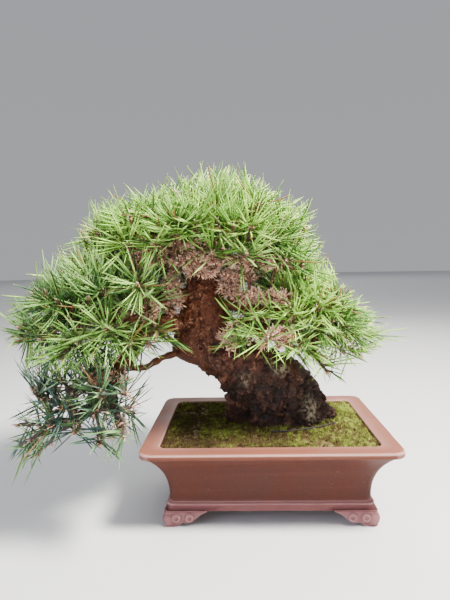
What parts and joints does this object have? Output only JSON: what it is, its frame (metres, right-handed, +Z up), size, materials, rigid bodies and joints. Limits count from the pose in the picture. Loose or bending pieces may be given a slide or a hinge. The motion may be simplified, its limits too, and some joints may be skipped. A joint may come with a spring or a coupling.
{
  "type": "black pine bonsai",
  "caption": "Black pine bonsai with a leaning, furrowed trunk, spreading and hanging sprays of needles, in a low rectangular clay pot with moss over its soil.",
  "frame": {"origin": "middle of the outer box's bottom, on the surface the pot stands on", "axes": "+Z up, -Y to the viewer of the pot's front, +X to the right; the tree leans and hangs to -X"},
  "size_m": [0.5136, 0.301, 0.4383],
  "materials": {
    "clay": "unglazed, satin",
    "drain_mesh": "matte black",
    "soil": "loose grains",
    "moss": "soft, fine texture",
    "bark": "rough bark",
    "needles": "living green needles",
    "tie_wire": "dark, dull"
  },
  "bodies": {
    "root": {"pot": "clay", "drain_mesh_left": "drain_mesh", "drain_mesh_right": "drain_mesh", "soil": "soil", "moss": "moss", "tree": "bark", "tie_wire": "tie_wire", "spray_01": "needles", "spray_02": "needles", "spray_03": "needles", "spray_04": "needles", "spray_05": "needles", "spray_06": "needles", "spray_07": "needles", "spray_08": "needles", "spray_09": "needles", "spray_10": "needles", "spray_11": "needles", "spray_12": "needles", "spray_13": "needles", "spray_14": "needles", "spray_15": "needles", "spray_16": "needles", "spray_17": "needles", "spray_18": "needles", "spray_19": "needles", "spray_20": "needles", "spray_21": "needles", "spray_22": "needles", "spray_23": "needles", "spray_24": "needles", "spray_25": "needles", "spray_26": "needles", "spray_27": "needles", "spray_28": "needles", "spray_29": "needles", "spray_30": "needles", "spray_31": "needles", "spray_32": "needles", "spray_33": "needles", "spray_34": "needles", "spray_35": "needles", "spray_36": "needles", "spray_37": "needles", "spray_38": "needles", "spray_39": "needles", "spray_40": "needles", "spray_41": "needles", "spray_42": "needles", "spray_43": "needles", "spray_44": "needles", "spray_45": "needles", "spray_46": "needles", "spray_47": "needles", "spray_48": "needles", "spray_49": "needles", "spray_50": "needles", "spray_51": "needles"}
  },
  "joints": []
}
